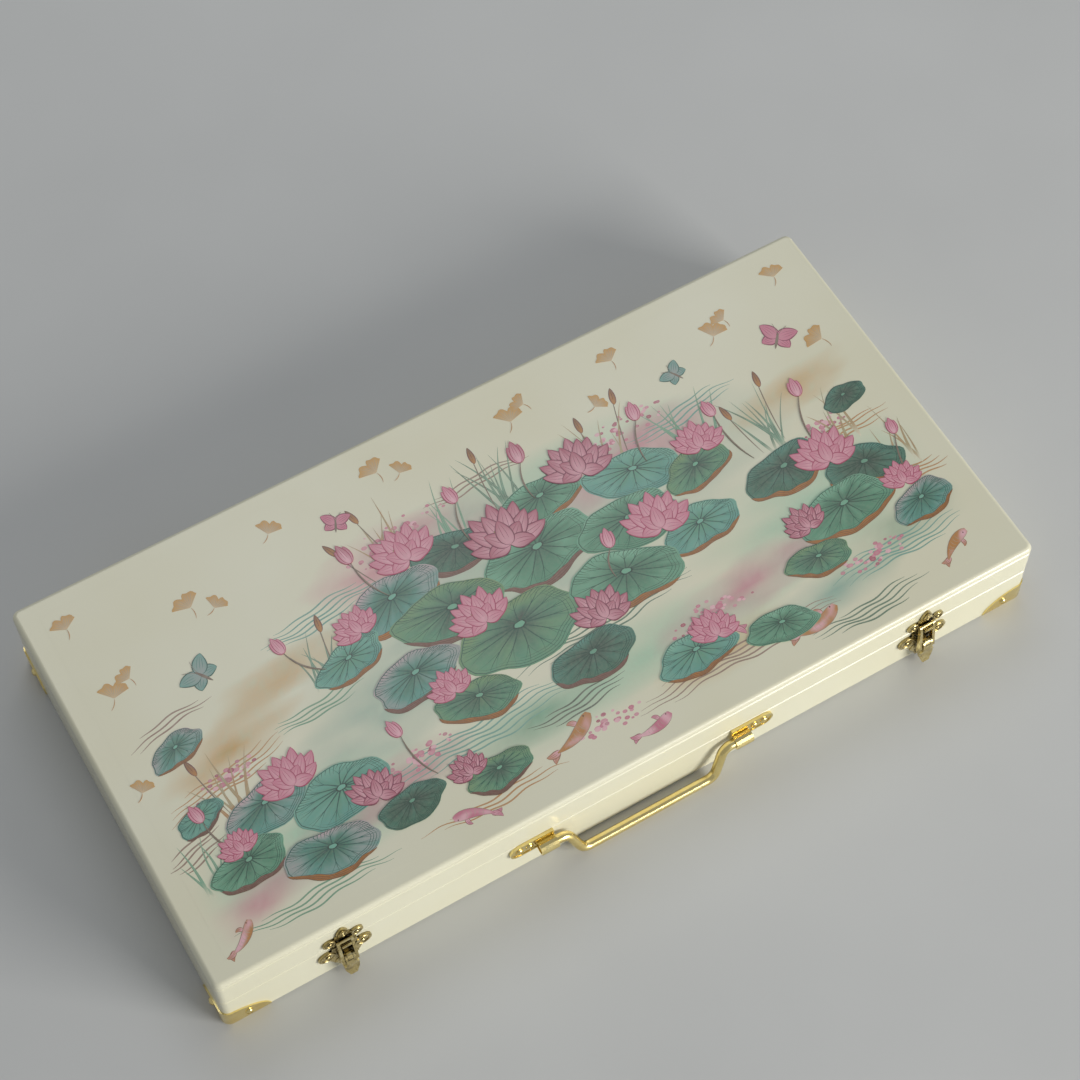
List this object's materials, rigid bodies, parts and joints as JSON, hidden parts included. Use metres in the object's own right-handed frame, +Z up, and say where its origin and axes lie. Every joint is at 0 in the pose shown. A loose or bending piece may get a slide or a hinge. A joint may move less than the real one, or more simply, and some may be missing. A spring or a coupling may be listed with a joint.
{
  "type": "mahjong set",
  "caption": "Flat painted wooden case with a hinged lid, toggle latches and a bail handle, packed with mahjong tiles in trays, racks and dice.",
  "frame": {"origin": "middle of the case's flat underside, which is the face it rests on", "axes": "+X along the case's length to the right, +Y from the front with the handle to the back with the hinges, +Z up"},
  "size_m": [0.4612, 0.2421, 0.05],
  "materials": {
    "case_lacquer": "satin cream lacquer over wood",
    "polished_brass": "polished",
    "antique_brass": "antique, dark in the hollows",
    "base_felt": "felt",
    "lid_lining_cloth": "soft cloth over a pad",
    "store_wood": "oiled",
    "tile_ivory": "polished",
    "dice_white": "polished",
    "indicator_wood": "turned and lacquered"
  },
  "bodies": {
    "root": {"base_back_wall": "case_lacquer", "base_bottom_panel": "case_lacquer", "base_front_wall": "case_lacquer", "base_left_wall": "case_lacquer", "base_lining": "base_felt", "base_right_wall": "case_lacquer", "corner_cap_screws": "polished_brass", "corner_caps": "polished_brass", "dice": "dice_white", "end_divider": "store_wood", "handle_plate_left": "polished_brass", "handle_plate_right": "polished_brass", "handle_screws": "polished_brass", "hinge_base_screws": "antique_brass", "hinge_left_base_leaf": "antique_brass", "hinge_right_base_leaf": "antique_brass", "latch_base_nails": "antique_brass", "latch_left_base_plate": "antique_brass", "latch_right_base_plate": "antique_brass", "rack_divider": "store_wood", "tile_rack_1": "store_wood", "tile_rack_2": "store_wood", "tile_rack_3": "store_wood", "tile_rack_4": "store_wood", "tiles_bamboos": "tile_ivory", "tiles_characters": "tile_ivory", "tiles_dots": "tile_ivory", "tiles_honours": "tile_ivory", "tray_lower_left": "store_wood", "tray_lower_right": "store_wood", "tray_upper_left": "store_wood", "tray_upper_right": "store_wood", "wind_indicator": "indicator_wood"},
    "lid": {"lid_front_wall": "case_lacquer", "lid_back_wall": "case_lacquer", "lid_left_wall": "case_lacquer", "lid_right_wall": "case_lacquer", "lid_top_panel": "case_lacquer", "lid_lining": "lid_lining_cloth", "latch_left_hook_plate": "antique_brass", "latch_right_hook_plate": "antique_brass", "latch_lid_nails": "antique_brass", "hinge_left_lid_leaf": "antique_brass", "hinge_right_lid_leaf": "antique_brass", "hinge_lid_screws": "antique_brass"},
    "handle": {"handle_bail": "polished_brass"},
    "latch_left_lever": {"latch_left_lever": "antique_brass"},
    "latch_left_loop": {"latch_left_loop": "antique_brass"},
    "latch_right_lever": {"latch_right_lever": "antique_brass"},
    "latch_right_loop": {"latch_right_loop": "antique_brass"}
  },
  "joints": [
    {"name": "lid_hinge", "type": "hinge", "parent": "root", "child": "lid", "pos_m": [0, 0.1161, 0.02815], "axis": [-1, 0, 0], "range_deg": [0, 180]},
    {"name": "handle_swing", "type": "hinge", "parent": "root", "child": "handle", "pos_m": [0, -0.117, 0.0207], "axis": [-1, 0, 0], "range_deg": [0, 160]},
    {"name": "latch_left_lift", "type": "hinge", "parent": "root", "child": "latch_left_lever", "pos_m": [-0.164, -0.1178, 0.0195], "axis": [-1, 0, 0], "range_deg": [0, 95]},
    {"name": "latch_left_loop_turn", "type": "hinge", "parent": "latch_left_lever", "child": "latch_left_loop", "pos_m": [-0.164, -0.11811, 0.01591], "axis": [-1, 0, 0], "range_deg": [-105, 0]},
    {"name": "latch_right_lift", "type": "hinge", "parent": "root", "child": "latch_right_lever", "pos_m": [0.164, -0.1178, 0.0195], "axis": [-1, 0, 0], "range_deg": [0, 95]},
    {"name": "latch_right_loop_turn", "type": "hinge", "parent": "latch_right_lever", "child": "latch_right_loop", "pos_m": [0.164, -0.11811, 0.01591], "axis": [-1, 0, 0], "range_deg": [-105, 0]}
  ],
  "couplings": [
    {"joint": "latch_left_loop_turn", "follows": "latch_left_lift", "ratio": -1.1},
    {"joint": "latch_right_loop_turn", "follows": "latch_right_lift", "ratio": -1.1}
  ]
}
